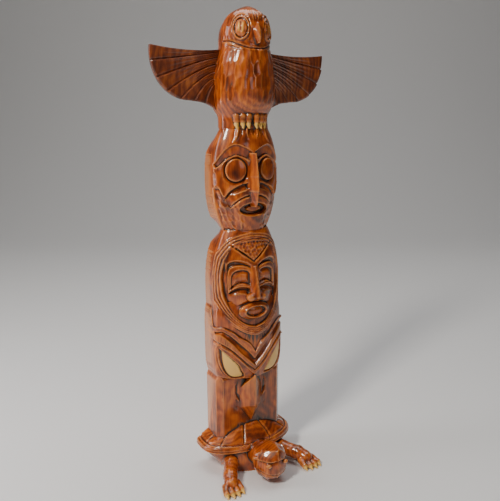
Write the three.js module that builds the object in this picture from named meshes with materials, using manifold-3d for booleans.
// A carved totem pole for a wall or a shelf: an owl with spread wings over a bird mask, a face in a hood, a
// banded chest, a plain trunk and a turtle that carries it all. Millimetres, +Z up. The carved front faces
// -Y and +X is to a viewer's right. The origin is on the underside, in the plane of the wooden block's
// front arrises, midway across.
import * as THREE from "three";
import { mergeVertices } from "three/addons/utils/BufferGeometryUtils.js";
import Module from "manifold-3d";

// ---- driving dimensions ------------------------------------------------------------------------------
const HEIGHT = 610;
const BACK = 28; // the flat sawn back of the whole pole
const FIT = 0.3; // gap between a wing and its slot

const TURTLE = {
  rimHalfWidth: 70,
  rimFront: -33,
  rimTop: 37,
  rimBottom: 28,
  domeTop: 65,
  bellyHalfWidth: 42,
  headY: -61,
  headZ: 27.5,
  headRadius: 23.5,
  leftFootX: 57,
  rightFootX: 63,
  footY: -65,
  toePitch: 7.4,
};
const TRUNK = { bottom: 30, top: 143, halfWidth: 50.3, corner: -2, chamfer: 7.5, prow: 14 };
const CHEST = { bottom: 133, top: 243, halfWidth: 52, corner: -2, front: -24 };
const FACE = {
  bottom: 190,
  widest: 262,
  top: 337,
  halfWidth: 49.5,
  neckHalfWidth: 33,
  corner: 3,
  front: -24,
  mouthZ: 229.5,
};
const MASK = {
  bottom: 336,
  top: 468,
  halfWidth: 47,
  neckHalfWidth: 32.5,
  corner: 3.5,
  front: -22,
  eyeX: 24.5,
  eyeZ: 415,
  mouthX: 1,
  mouthZ: 365,
};
const OWL = { eyeX: 18.5, eyeY: -22.5, eyeZ: 582.5, eyeTurn: 0.7, firstToeX: 6.5, toePitch: 6, toes: 4 };
const WING = {
  y: 8,
  thickness: 5,
  shoulderX: 45,
  shoulderZ: 552,
  feathers: 7,
  firstTurn: 6.7,
  lastTurn: -90,
  step: 2,
  topReach: 77,
};

const WOOD = new THREE.MeshStandardMaterial({ color: 0xa85a26, roughness: 0.25, metalness: 0 });
const WING_WOOD = new THREE.MeshStandardMaterial({ color: 0x7d3a1c, roughness: 0.28, metalness: 0 });

// ---- helpers -----------------------------------------------------------------------------------------
const wasm = await Module();
wasm.setup();

// A mirrored outline comes out inside out, so its faces are turned round.
function solid(geometry) {
  const bare = geometry.clone();
  bare.deleteAttribute("normal");
  bare.deleteAttribute("uv");
  const merged = mergeVertices(bare, 1e-3);
  const vertProperties = new Float32Array(merged.attributes.position.array);
  const triVerts = new Uint32Array(merged.index.array);
  const body = new wasm.Manifold(new wasm.Mesh({ numProp: 3, vertProperties, triVerts }));
  if (body.volume() > 0) return body;
  return new wasm.Manifold(new wasm.Mesh({ numProp: 3, vertProperties, triVerts: triVerts.reverse() }));
}

function geometryOf(body) {
  const mesh = body.getMesh();
  const geometry = new THREE.BufferGeometry();
  geometry.setAttribute("position", new THREE.BufferAttribute(new Float32Array(mesh.vertProperties), 3));
  geometry.setIndex(new THREE.BufferAttribute(new Uint32Array(mesh.triVerts), 1));
  geometry.computeVertexNormals();
  return geometry;
}

function join(...bodies) {
  return bodies.flat().reduce((whole, piece) => whole.add(piece));
}

// A closed body through a stack of rings that all have the same number of points.
function loft(rings) {
  const count = rings[0].length;
  const points = rings.flat().map((p) => [p.x, p.y, p.z]);
  const faces = [];
  for (let level = 0; level < rings.length - 1; level++) {
    for (let i = 0; i < count; i++) {
      const a = level * count + i;
      const b = level * count + ((i + 1) % count);
      faces.push(a, b, b + count, a, b + count, a + count);
    }
  }
  const last = (rings.length - 1) * count;
  for (let i = 1; i < count - 1; i++) {
    faces.push(0, i + 1, i);
    faces.push(last, last + i, last + i + 1);
  }
  const geometry = new THREE.BufferGeometry();
  geometry.setAttribute("position", new THREE.Float32BufferAttribute(points.flat(), 3));
  geometry.setIndex(faces);
  return solid(geometry);
}

// Value at t of a list of [t, value] stations, halfway between a straight run and an eased one.
function along(stations, t) {
  const next = stations.findIndex((s) => s[0] >= t);
  if (next === 0) return stations[0][1];
  if (next < 0) return stations.at(-1)[1];
  const [t0, v0] = stations[next - 1];
  const [t1, v1] = stations[next];
  const straight = (t - t0) / (t1 - t0);
  const eased = THREE.MathUtils.smoothstep(t, t0, t1);
  return THREE.MathUtils.lerp(v0, v1, (straight + eased) / 2);
}

// One cross-section of the half-log: flat back, sides that run forward to a corner, and a rounded front.
// "proud" moves the front and the sides out, or in when it is negative.
function section(z, s, proud, columns) {
  const half = s.half + proud;
  const backHalf = (s.backHalf ?? s.half) + proud;
  const front = s.front - proud;
  const ring = [];
  const side = [];
  const back = s.back ?? BACK;
  for (let i = 0; i <= 2; i++) {
    const turn = (i / 2) * (Math.PI / 2);
    side.push([backHalf + (half - backHalf) * Math.sin(turn), s.corner + (back - s.corner) * Math.cos(turn)]);
  }
  side.forEach(([x, y]) => ring.push(new THREE.Vector3(-x, y, z)));
  for (let i = 1; i < columns; i++) {
    const turn = (i / columns) * Math.PI;
    const x = -half * Math.cos(turn);
    const y = s.corner + (front - s.corner) * Math.sin(turn) ** (s.fullness ?? 1);
    ring.push(new THREE.Vector3(x, y, z));
  }
  side.reverse().forEach(([x, y]) => ring.push(new THREE.Vector3(x, y, z)));
  return ring;
}

function block(dims, sectionAt, levels, columns, proud = 0) {
  const rings = [];
  for (let i = 0; i <= levels; i++) {
    const z = THREE.MathUtils.lerp(dims.bottom, dims.top, i / levels);
    rings.push(section(z, sectionAt(z), proud, columns));
  }
  return loft(rings);
}

// An upright outline in X and Z, as a prism that runs from in front of the pole back to the given depth.
function prism(outline, rear = 20) {
  const shape = new THREE.Shape(outline.map(([x, z]) => new THREE.Vector2(x, z)));
  const geometry = new THREE.ExtrudeGeometry(shape, { depth: rear + 100, bevelEnabled: false });
  geometry.rotateX(Math.PI / 2);
  geometry.translate(0, rear, 0);
  return solid(geometry);
}

const mirrored = (outline) => outline.map(([x, z]) => [-x, z]);

// The left half of an outline or line, ending on the middle line, with its mirror image joined to it.
// A half that also starts on the middle line closes there.
function whole(left) {
  const right = mirrored(left).reverse().slice(1);
  return left.concat(left[0][0] === 0 ? right.slice(0, -1) : right);
}

function both(outline) {
  return [prism(outline), prism(mirrored(outline))];
}

function oval(x, z, rx, rz, points = 14) {
  return Array.from({ length: points }, (_, i) => {
    const turn = (i / points) * 2 * Math.PI;
    return [x + rx * Math.cos(turn), z + rz * Math.sin(turn)];
  });
}

// A band of the given width along an open line in X and Z, pointed at its ends when tapered.
function band(line, width, tapered = false) {
  const curve = new THREE.SplineCurve(line.map(([x, z]) => new THREE.Vector2(x, z)));
  const steps = Math.round(line.length * 1.5);
  const outer = [];
  const inner = [];
  for (let i = 0; i <= steps; i++) {
    const t = i / steps;
    const p = curve.getPoint(t);
    const d = curve.getTangent(t);
    const w = (width / 2) * (tapered ? Math.max(Math.sin(Math.PI * t), 0.06) : 1);
    outer.push([p.x - d.y * w, p.y + d.x * w]);
    inner.push([p.x + d.y * w, p.y - d.x * w]);
  }
  return outer.concat(inner.reverse());
}

// Carving: a raised patch follows the block's surface, and a sunk patch has a floor that does.
function raise(body, outlines, made, proud) {
  return outlines.reduce((whole, cutter) => whole.add(made(proud).intersect(cutter)), body);
}

function sink(body, outlines, made, depth) {
  const floor = made(-depth);
  return outlines.reduce((whole, cutter) => whole.subtract(cutter.subtract(floor)), body);
}

// A ridge such as a nose or beak: stations of height, half width and how far its crest stands forward.
function ridge(stations, root, topWidth = 0.35) {
  return loft(
    stations.map(([z, half, crest]) => [
      new THREE.Vector3(-half, root, z),
      new THREE.Vector3(-half * topWidth, crest, z),
      new THREE.Vector3(half * topWidth, crest, z),
      new THREE.Vector3(half, root, z),
    ]),
  );
}

function ball(centre, radii, segments = 10) {
  const geometry = new THREE.SphereGeometry(1, segments, Math.ceil(segments * 0.6));
  geometry.scale(...radii);
  geometry.translate(...centre);
  return solid(geometry);
}

// A tapering limb through stations of [x, y, z, half width, half height].
function limb(stations, sides = 7) {
  return loft(
    stations.map(([x, y, z, wide, high]) =>
      Array.from({ length: sides }, (_, i) => {
        const turn = (i / sides) * 2 * Math.PI;
        return new THREE.Vector3(x + wide * Math.cos(turn), y, z + high * Math.sin(turn));
      }),
    ),
  );
}

// ---- the turtle --------------------------------------------------------------------------------------
// The shell's middle lies behind the origin, so that the sawn back cuts off its rear.
const SHELL_MIDDLE = 13;

function shellPoint(reach, turn, halfWidth, front, z) {
  const c = Math.cos(turn);
  const s = Math.sin(turn);
  const x = halfWidth * reach * c;
  const y = SHELL_MIDDLE + (SHELL_MIDDLE - front) * reach * Math.sign(s) * Math.abs(s) ** 0.75;
  return new THREE.Vector3(x, y, z ?? shellHeight(x, y));
}

function shellHeight(x, y) {
  const across = Math.abs(x / TURTLE.rimHalfWidth) ** 2;
  const deep = Math.abs((y - SHELL_MIDDLE) / (SHELL_MIDDLE - TURTLE.rimFront)) ** 3;
  const inward = Math.max(1 - across - deep, 0);
  return TURTLE.rimTop + (TURTLE.domeTop - TURTLE.rimTop) * inward ** 1.3;
}

function shell() {
  const count = 24;
  const turns = Array.from({ length: count }, (_, i) => (i / count) * 2 * Math.PI);
  const { rimHalfWidth, rimFront, rimTop, rimBottom, bellyHalfWidth } = TURTLE;
  const rings = [
    turns.map((t) => shellPoint(1, t, bellyHalfWidth, rimFront - 2, 0)),
    turns.map((t) => shellPoint(1, t, bellyHalfWidth + 6, rimFront - 1, 8)),
    turns.map((t) => shellPoint(1, t, rimHalfWidth - 4, rimFront + 4, rimBottom)),
    turns.map((t) => shellPoint(1, t, rimHalfWidth, rimFront, rimBottom + 3)),
    turns.map((t) => shellPoint(1, t, rimHalfWidth, rimFront, rimTop - 2)),
    turns.map((t) => shellPoint(0.97, t, rimHalfWidth, rimFront, rimTop)),
    ...[0.88, 0.75, 0.55, 0.3].map((r) => turns.map((t) => shellPoint(r, t, rimHalfWidth, rimFront))),
  ];
  return loft(rings);
}

// A toe starts inside the foot, and its claw starts inside the toe.
function toeWithClaw(footX, footY, spread, out) {
  const x = footX + spread + out * 1.5;
  const tip = footY - 6 + Math.abs(spread) * 0.3;
  const toe = limb(
    [
      [x - spread * 0.15, footY + 6, 6, 3.2, 5],
      [x, tip, 4.2, 3.8, 4.2],
    ],
    5,
  );
  const claw = limb(
    [
      [x, tip + 2, 3, 2.6, 3],
      [x + spread * 0.06, tip - 5, 1.6, 0.8, 1.2],
    ],
    4,
  );
  return toe.add(claw);
}

// A foreleg bends out and forward to a broad foot with four toes.
function foreleg(footX, footY) {
  const out = Math.sign(footX);
  const parts = [
    limb([
      [out * 36, -6, 20, 10, 10],
      [out * 42, -28, 17, 10, 9],
      [THREE.MathUtils.lerp(out * 42, footX, 0.7), -47, 13, 10.5, 9],
      [footX, -57, 9.5, 13.5, 9.5],
      [footX, footY, 6, 14, 6],
    ]),
  ];
  for (let toe = 0; toe < 4; toe++) {
    const spread = (toe - 1.5) * TURTLE.toePitch;
    parts.push(toeWithClaw(footX, footY, spread, out));
  }
  return join(parts);
}

function turtleHead() {
  const { headY, headZ, headRadius } = TURTLE;
  const skull = ball([0, headY, headZ], [headRadius, headRadius, headRadius - 0.5], 10);
  const browPlate = ball([0, headY + 3, headZ + 9], [headRadius - 0.5, headRadius - 0.5, 14.5], 9);
  const neckStations = [
    [0, -15, 24, 17, 15],
    [0, headY + 8, headZ, 16, 16],
  ];
  const neck = limb(neckStations, 8);
  const eyes = [-1, 1].map((side) => ball([side * 13, headY - 17.5, headZ + 4], [3, 3, 3], 6));
  return join(skull, browPlate, neck, eyes);
}

function turtle() {
  const behind = new THREE.BoxGeometry(400, 100, 200);
  behind.translate(0, BACK + 50, 60);
  const body = shell().subtract(solid(behind));
  const leftLeg = foreleg(-TURTLE.leftFootX, TURTLE.footY);
  const rightLeg = foreleg(TURTLE.rightFootX, TURTLE.footY);
  return join(body, leftLeg, rightLeg, turtleHead());
}

// ---- the trunk ---------------------------------------------------------------------------------------
// Flat sides, chamfered arrises and a flat front, with a pointed prow down the middle.
function trunk() {
  const { bottom, top, halfWidth, corner, chamfer, prow } = TRUNK;
  const plain = (z, inset) => {
    const w = halfWidth - inset;
    const c = corner + inset;
    const left = [
      [-w, BACK],
      [-w, c],
      [-w + chamfer, c - chamfer],
    ];
    const right = mirrored(left).reverse();
    return left.concat(right).map(([x, y]) => new THREE.Vector3(x, y, z));
  };
  const post = loft([plain(bottom, 0), plain(top - 11, 0), plain(top, 5)]);
  const face = corner - chamfer;
  const crest = face - prow;
  const shield = ridge(
    [
      [bottom + 34, 0.8, crest + 5],
      [bottom + 56, 12, crest],
      [bottom + 64, 16, crest],
      [bottom + 84, 17, crest],
      [top - 14, 11, crest],
      [top - 8, 7, crest + 1],
    ],
    face + 3,
    0.02,
  );
  return join(post, shield);
}

// ---- the banded chest --------------------------------------------------------------------------------
function chestAt(z) {
  const t = Math.abs((2 * (z - CHEST.bottom)) / (CHEST.top - CHEST.bottom) - 1);
  const inset = 6 * t ** 5;
  return { half: CHEST.halfWidth - inset, corner: CHEST.corner, front: CHEST.front + inset, fullness: 0.8 };
}

function chest() {
  const made = (proud) => block(CHEST, chestAt, 7, 10, proud);
  const chevron = (drop) => [
    [-47, 207 - drop],
    [-41.5, 205 - drop],
    [-23, 191 - drop],
    [0, 171 - drop],
  ];
  const cord = band(whole(chevron(0)), 3);
  const channel = band(whole(chevron(12)), 9);
  const leaf = [
    [-45.6, 177],
    [-35, 166],
    [-26, 155],
    [-19.3, 138],
    [-27, 137],
    [-35.1, 140.6],
    [-42, 150],
    [-45.5, 162],
  ];
  let body = made(0);
  body = sink(body, [prism(channel)], made, 5);
  body = raise(body, [prism(cord)], made, 1.6);
  const middle = [-33, 157];
  const around = leaf.map(([x, z]) => [
    THREE.MathUtils.lerp(middle[0], x, 1.22),
    THREE.MathUtils.lerp(middle[1], z, 1.13),
  ]);
  body = sink(body, both(around), made, 5);
  return raise(body, both(leaf), made, -1.5);
}

// ---- the hooded face ---------------------------------------------------------------------------------
function faceAt(z) {
  const up = Math.max((z - FACE.widest) / (FACE.top - FACE.widest), 0) ** 2.4;
  const down = Math.max((FACE.widest - z) / (FACE.widest - FACE.bottom), 0) ** 2;
  return {
    half: FACE.halfWidth - (FACE.halfWidth - FACE.neckHalfWidth) * up - 2.5 * down,
    corner: FACE.corner,
    front: FACE.front + 10 * up - 4 * down,
    fullness: 0.85,
  };
}

const jawLine = (x) => 196 + 34 * Math.abs(x / 50) ** 1.7;

// Left halves of the face's outlines. The nose is stations of height, half width and crest.
const FACE_LINES = {
  inner: [
    [0, 320],
    [-20, 318],
    [-33, 307],
    [-41, 294],
    [-43.5, 280],
    [-42.5, 262],
    [-38, 244],
    [-29, 226],
    [-16, 213],
    [0, 208],
  ],
  hood: [
    [-6, 331],
    [-30, 323],
    [-43, 306],
    [-46.5, 282],
    [-45, 258],
    [-38, 234],
    [-24, 214],
    [0, 203],
  ],
  panel: [
    [0, 326],
    [-28, 319],
    [0, 298],
  ],
  brow: [
    [0, 295],
    [-28, 313],
    [-38, 300],
    [-22, 297],
    [0, 286],
  ],
  eyeFrame: [
    [-36, 257],
    [-36, 289],
    [-22, 291.5],
    [-5, 286],
    [-3, 260],
    [-21, 264],
  ],
  eyeOpening: [
    [-32.5, 263.5],
    [-32.5, 280],
    [-22, 286],
    [-7, 282],
    [-6.3, 266.5],
    [-22, 268.8],
  ],
  nose: [
    [244, 11, -31],
    [249, 12.5, -34],
    [256, 8, -33],
    [268, 5.5, -31],
    [287, 5, -28],
  ],
};

function hoodedFace() {
  const made = (proud) => block(FACE, faceAt, 8, 12, proud);
  const jaw = [];
  for (let x = -60; x <= 60; x += 10) jaw.push([x, jawLine(x)]);
  const above = jaw.concat([[60, 350], [-60, 350]]);
  let body = made(0).intersect(prism(above, 40));
  body = sink(body, [prism(whole(FACE_LINES.inner))], made, 5);
  const hood = band(FACE_LINES.hood, 2.6);
  body = raise(body, both(hood), made, 2);
  body = raise(body, [prism(whole(FACE_LINES.panel))], made, 0.8);
  body = raise(body, [prism(whole(FACE_LINES.brow))], made, -0.6);
  body = raise(body, both(FACE_LINES.eyeFrame), made, -0.8);
  body = sink(body, both(FACE_LINES.eyeOpening), made, 3.4);
  const nose = ridge(FACE_LINES.nose, FACE.front + 12, 0.4);
  const lips = new THREE.TorusGeometry(17.5, 6.2, 6, 18);
  lips.scale(1, 0.52, 0.9);
  lips.rotateX(Math.PI / 2);
  lips.translate(0, FACE.front + 1, FACE.mouthZ);
  const mouth = ball([0, FACE.front - 4, FACE.mouthZ], [15, 7, 7], 10);
  return join(body, nose).subtract(mouth).add(solid(lips));
}

// ---- the bird mask -----------------------------------------------------------------------------------
function maskAt(z) {
  const t = Math.abs((2 * (z - MASK.bottom)) / (MASK.top - MASK.bottom) - 1);
  const ends = t ** 2.6;
  return {
    half: MASK.halfWidth - (MASK.halfWidth - MASK.neckHalfWidth) * ends,
    corner: MASK.corner,
    front: MASK.front + 8 * ends,
    fullness: 0.85,
  };
}

// Left halves of the mask's outlines. The beak is three lengths, each of them stations of height, half width
// and crest.
const MASK_LINES = {
  underBrow: [
    [0, 424],
    [-9, 430],
    [-23, 434.5],
    [-36, 428],
    [-44.5, 424],
    [-37, 439],
    [-23, 446.5],
    [-10, 441],
    [0, 436.5],
  ],
  cheek: [
    [-38.6, 376],
    [-29, 391],
    [-16, 397],
    [-4, 398],
    [-4, 392],
    [-20, 388],
    [-30, 382],
  ],
  lowerCheek: [
    [-30, 368],
    [-19, 376],
    [-4, 380],
    [-4, 383],
    [-19, 379.5],
  ],
  outerCurl: [
    [-27, 449],
    [-25, 457],
    [-18, 462],
    [-21, 455],
  ],
  innerCurl: [
    [-6, 448],
    [-8, 457],
    [-10, 465],
    [-4.5, 457],
  ],
  beak: [
    [
      [407, 7.5, -31],
      [435, 5, -27],
    ],
    [
      [387, 8.5, -32.5],
      [408, 7, -30.5],
    ],
    [
      [366, 1.5, -31],
      [374, 5, -32],
      [388, 8, -32],
    ],
  ],
};

function birdMask() {
  const made = (proud) => block(MASK, maskAt, 8, 12, proud);
  const { eyeX, eyeZ, mouthX, mouthZ } = MASK;
  let body = made(0);
  body = sink(body, [prism(whole(MASK_LINES.underBrow))], made, 6);
  body = sink(body, both(oval(-eyeX, eyeZ, 17.5, 18, 16)), made, 4);
  body = raise(body, both(oval(-eyeX, eyeZ, 14, 14.6, 16)), made, 0.5);
  body = sink(body, both(MASK_LINES.cheek), made, 5);
  body = sink(body, both(MASK_LINES.lowerCheek), made, 3.5);
  body = sink(body, [prism(oval(mouthX, mouthZ, 18.5, 7.5))], made, 9);
  body = raise(body, [prism(oval(mouthX, mouthZ - 2, 12, 4))], made, -4);
  body = raise(body, both(MASK_LINES.outerCurl), made, 2.5);
  body = raise(body, both(MASK_LINES.innerCurl), made, 2.5);
  const beak = MASK_LINES.beak.map((stations) => ridge(stations, MASK.front + 12));
  return join(body, beak);
}

// ---- the owl -----------------------------------------------------------------------------------------
// Stations of height, half width, the depth of the widest line, front depth, half width at the back, back.
const OWL_STATIONS = [
  [466, 33.5, 4, -15, 33.5, BACK],
  [482, 34, 6, -17, 32, BACK],
  [489, 37.5, 8, -24, 32, BACK],
  [499, 40.5, 8, -29.5, 34, BACK],
  [514, 41, 8, -32, 34.5, BACK],
  [532, 40, 8, -32, 33, BACK],
  [548, 36, 5, -31.5, 28, BACK],
  [558, 33, 2, -29.5, 21, BACK],
  [562, 32, 1.5, -28, 18, BACK],
  [572, 32, 1, -29.5, 17, BACK],
  [584, 30.5, 0, -30.5, 15, 27],
  [593, 27, -1, -28.5, 11, 23],
  [600, 22.5, -2, -24.5, 8, 18],
  [606, 14, -3, -17, 5, 9],
  [HEIGHT, 5, -4, -9, 2, 1],
];

function owlBody() {
  const rings = OWL_STATIONS.map(([z, half, corner, front, backHalf, back]) =>
    section(z, { half, corner, front, backHalf, back }, 0, 16),
  );
  return loft(rings);
}

// Radius and height of the eye's bulge, the groove about it and its raised rim, down to its root in the head.
const OWL_EYE = [
  [0, 2.6],
  [5.5, 2.2],
  [9, 0],
  [10.2, 0],
  [11, 1.2],
  [13, -6],
  [0, -6],
];

function owlEye(side) {
  const profile = OWL_EYE.map(([r, h]) => new THREE.Vector2(r, h));
  const disc = new THREE.LatheGeometry(profile, 16);
  disc.rotateX(Math.PI);
  disc.rotateZ(side * OWL.eyeTurn);
  disc.translate(side * OWL.eyeX, OWL.eyeY, OWL.eyeZ);
  return solid(disc);
}

// Four toes over the perch, each a bent ridge that ends in a claw.
function owlFoot(side) {
  const toes = [];
  for (let toe = 0; toe < OWL.toes; toe++) {
    const x = side * (OWL.firstToeX + toe * OWL.toePitch);
    const y = -16.5 + 0.014 * x * x;
    const ring = (z, forward, half) => [
      new THREE.Vector3(x - half, y, z),
      new THREE.Vector3(x - half * 0.7, y - forward * 0.8, z),
      new THREE.Vector3(x, y - forward, z),
      new THREE.Vector3(x + half * 0.7, y - forward * 0.8, z),
      new THREE.Vector3(x + half, y, z),
    ];
    const claw = [ring(466.5, 4.5, 0.5), ring(473.5, 7, 2)];
    const knuckle = [ring(474, 9, 2.8), ring(482, 9, 2.8), ring(487, 4, 2.2)];
    toes.push(loft(claw.concat(knuckle)));
  }
  return join(toes);
}

function owl() {
  const beakStations = [
    [565, 1.2, -35],
    [571, 6, -37],
    [580, 9, -34.5],
    [588, 4, -31],
  ];
  const beak = ridge(beakStations, -18, 0.2);
  return join(owlBody(), owlEye(-1), owlEye(1), beak, owlFoot(-1), owlFoot(1));
}

// ---- the wings ---------------------------------------------------------------------------------------
// A fan of feathers about the shoulder. Each face slopes back, so that its edge stands over the next feather.
// Stations of degrees below level and the length of the feather there.
const FEATHER_LENGTHS = [
  [-8, 77.5],
  [20, 75.6],
  [36, 71.7],
  [51, 65.4],
  [66, 58],
  [84, 56.5],
  [100, 67],
];

function wingReach(angle) {
  return along(FEATHER_LENGTHS, THREE.MathUtils.radToDeg(-angle));
}

// A board with an upright outline of [x, z, lift] points. Its back is flat, and "lift" raises its front.
function board(outline, side, y, thickness) {
  const rear = outline.map(([x, z]) => new THREE.Vector3(side * x, y + thickness / 2, z));
  const front = outline.map(([x, z, lift = 0]) => new THREE.Vector3(side * x, y - thickness / 2 - lift, z));
  return loft([rear, front]);
}

function feather(side, from, to) {
  const { y, thickness, shoulderX, shoulderZ, step } = WING;
  const points = 3;
  const outline = [[shoulderX - 1, shoulderZ, 0]];
  for (let i = 0; i <= points; i++) {
    const turn = THREE.MathUtils.lerp(from, to, i / points);
    const reach = wingReach(turn);
    const lift = step * (1 - i / points);
    outline.push([shoulderX + reach * Math.cos(turn), shoulderZ + reach * Math.sin(turn), lift]);
  }
  return board(outline, side, y, thickness);
}

function wing(side) {
  const { y, thickness, shoulderX, shoulderZ, feathers, topReach } = WING;
  const first = THREE.MathUtils.degToRad(WING.firstTurn);
  const each = THREE.MathUtils.degToRad(WING.lastTurn - WING.firstTurn) / feathers;
  const parts = [board(wingRoot(0), side, y, thickness)];
  for (let i = 0; i < feathers; i++) {
    parts.push(feather(side, first + each * i, first + each * (i + 1) - 0.01));
  }
  const top = new THREE.QuadraticBezierCurve(
    new THREE.Vector2(shoulderX - 1, shoulderZ + 8),
    new THREE.Vector2(shoulderX + 33, shoulderZ - 1),
    new THREE.Vector2(shoulderX + topReach, shoulderZ + 9),
  );
  const leading = top.getPoints(5).map((p) => [p.x, p.y, 0.6]);
  const upper = [[shoulderX - 1, shoulderZ - 4, 0], ...leading, [shoulderX + topReach, shoulderZ - 4, 1.4]];
  parts.push(board(upper.reverse(), side, y, thickness));
  return join(parts);
}

// The root of a wing, with the tongue that is let into the owl's side. "gap" grows it to make the slot.
function wingRoot(gap) {
  return [
    [26 - gap, 490 - gap],
    [35, 483 - gap],
    [42, 486.5 - gap],
    [48, 489 - gap],
    [50, 552],
    [42, 560 + gap],
    [33, 562 + gap],
    [26 - gap, 556 + gap],
  ];
}

// ---- the whole pole ----------------------------------------------------------------------------------
function pole() {
  const carved = join(turtle(), trunk(), chest(), hoodedFace(), birdMask(), owl());
  const slots = [-1, 1].map((side) => board(wingRoot(FIT), side, WING.y, WING.thickness + 2 * FIT));
  return slots.reduce((body, slot) => body.subtract(slot), carved);
}

function named(name, body, material) {
  const mesh = new THREE.Mesh(geometryOf(body), material);
  mesh.name = name;
  return mesh;
}

const totemPole = new THREE.Group();
totemPole.add(named("pole", pole(), WOOD));
totemPole.add(named("wing_left", wing(-1), WING_WOOD));
totemPole.add(named("wing_right", wing(1), WING_WOOD));
export default totemPole;
